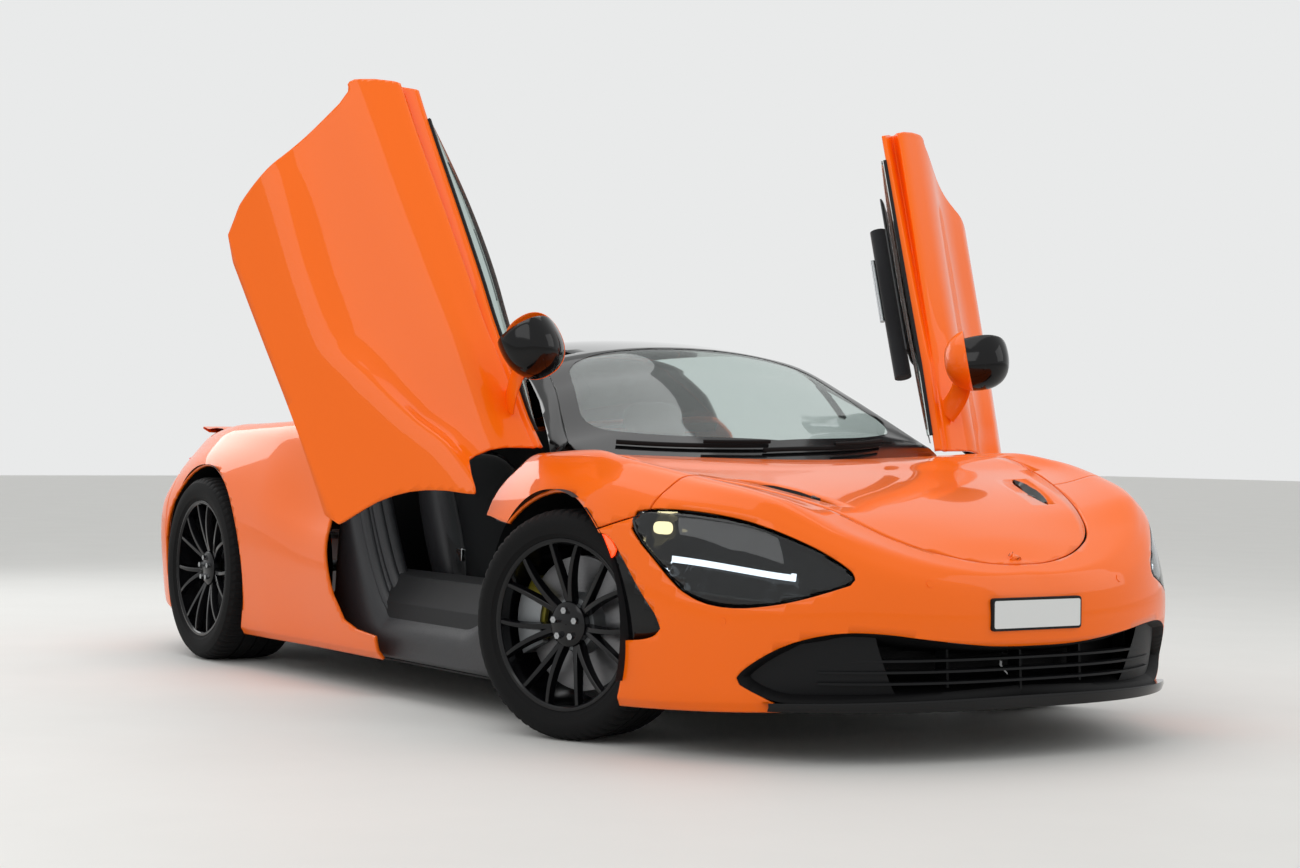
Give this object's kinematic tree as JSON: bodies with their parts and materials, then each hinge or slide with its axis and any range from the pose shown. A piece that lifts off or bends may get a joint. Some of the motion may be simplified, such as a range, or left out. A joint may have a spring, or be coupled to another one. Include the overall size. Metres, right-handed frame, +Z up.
{
  "type": "mid-engined supercar",
  "caption": "Low two-seat mid-engined supercar in orange, both dihedral doors raised, front wheels steered, with opening front lid and tilting rear wing.",
  "frame": {"origin": "on the ground under the middle of the overall length and width", "axes": "+X forwards, +Y to the car's left, +Z up"},
  "size_m": [4.543, 2.9934, 1.9882],
  "materials": {
    "paint_orange": "gloss",
    "gloss_black": "gloss",
    "satin_black": "satin",
    "carpet_black": "matt",
    "lamp_glass": "gloss",
    "glass_tint": "gloss",
    "lamp_red": "gloss",
    "leather_black": "satin",
    "exhaust_steel": "brushed",
    "cast_grey": "matt",
    "alloy_grey": "satin",
    "tyre_rubber": "matt",
    "rim_black": "gloss"
  },
  "bodies": {
    "chassis": {"tub": "leather_black", "underfloor": "satin_black", "luggage_tub": "carpet_black", "arch_liners": "satin_black", "front_splitter": "gloss_black", "front_grille": "gloss_black", "headlamps": "lamp_glass", "windscreen": "glass_tint", "roof": "gloss_black", "rear_glass": "glass_tint", "engine_cover": "gloss_black", "rear_bumper": "paint_orange", "rear_grille": "satin_black", "diffuser": "satin_black", "exhausts": "exhaust_steel", "tail_lamps": "lamp_red", "engine": "cast_grey", "seats": "leather_black", "dashboard": "leather_black", "front_suspension": "alloy_grey", "rear_suspension": "alloy_grey", "front_bumper": "paint_orange", "fender_left": "paint_orange", "fender_right": "paint_orange", "quarter_left": "paint_orange", "quarter_right": "paint_orange"},
    "front_lid": {"front_lid": "paint_orange"},
    "rear_wing": {"rear_wing": "paint_orange"},
    "door_left": {"door_left": "paint_orange", "door_glass_left": "glass_tint", "mirror_left": "gloss_black"},
    "knuckle_left": {"knuckle_left": "alloy_grey"},
    "wheel_front_left": {"tyre_front_left": "tyre_rubber", "rim_front_left": "rim_black"},
    "wheel_rear_left": {"tyre_rear_left": "tyre_rubber", "rim_rear_left": "rim_black"},
    "door_right": {"door_right": "paint_orange", "door_glass_right": "glass_tint", "mirror_right": "gloss_black"},
    "knuckle_right": {"knuckle_right": "alloy_grey"},
    "wheel_front_right": {"tyre_front_right": "tyre_rubber", "rim_front_right": "rim_black"},
    "wheel_rear_right": {"tyre_rear_right": "tyre_rubber", "rim_rear_right": "rim_black"}
  },
  "joints": [
    {"name": "lid_hinge", "type": "hinge", "parent": "chassis", "child": "front_lid", "pos_m": [1.05, 0, 0.86], "axis": [0, -1, 0], "range_deg": [0, 50]},
    {"name": "door_left_hinge", "type": "hinge", "parent": "chassis", "child": "door_left", "pos_m": [0.87, 0.641, 0.861], "axis": [0.4405, 0.7615, -0.4754], "range_deg": [-68.3, 0]},
    {"name": "door_right_hinge", "type": "hinge", "parent": "chassis", "child": "door_right", "pos_m": [0.87, -0.641, 0.861], "axis": [-0.4405, 0.7615, 0.4754], "range_deg": [-68.3, 0]},
    {"name": "steer_left", "type": "hinge", "parent": "chassis", "child": "knuckle_left", "pos_m": [1.264, 0.767, 0.327], "axis": [0, 0, 1], "range_deg": [-52, 12]},
    {"name": "wheel_front_left_spin", "type": "hinge", "parent": "knuckle_left", "child": "wheel_front_left", "pos_m": [1.24006, 0.83278, 0.327], "axis": [-0.342, 0.9397, 0], "continuous": true},
    {"name": "wheel_rear_left_spin", "type": "hinge", "parent": "chassis", "child": "wheel_rear_left", "pos_m": [-1.406, 0.8145, 0.3455], "axis": [0, 1, 0], "continuous": true},
    {"name": "steer_right", "type": "hinge", "parent": "chassis", "child": "knuckle_right", "pos_m": [1.264, -0.767, 0.327], "axis": [0, 0, 1], "range_deg": [-52, 12]},
    {"name": "wheel_front_right_spin", "type": "hinge", "parent": "knuckle_right", "child": "wheel_front_right", "pos_m": [1.28794, -0.83278, 0.327], "axis": [-0.342, 0.9397, 0], "continuous": true},
    {"name": "wheel_rear_right_spin", "type": "hinge", "parent": "chassis", "child": "wheel_rear_right", "pos_m": [-1.406, -0.8145, 0.3455], "axis": [0, 1, 0], "continuous": true},
    {"name": "wing_hinge", "type": "hinge", "parent": "chassis", "child": "rear_wing", "pos_m": [-1.94, 0, 0.871], "axis": [0, 1, 0], "range_deg": [0, 50]}
  ],
  "couplings": [
    {"joint": "steer_right", "follows": "steer_left", "ratio": 1}
  ]
}
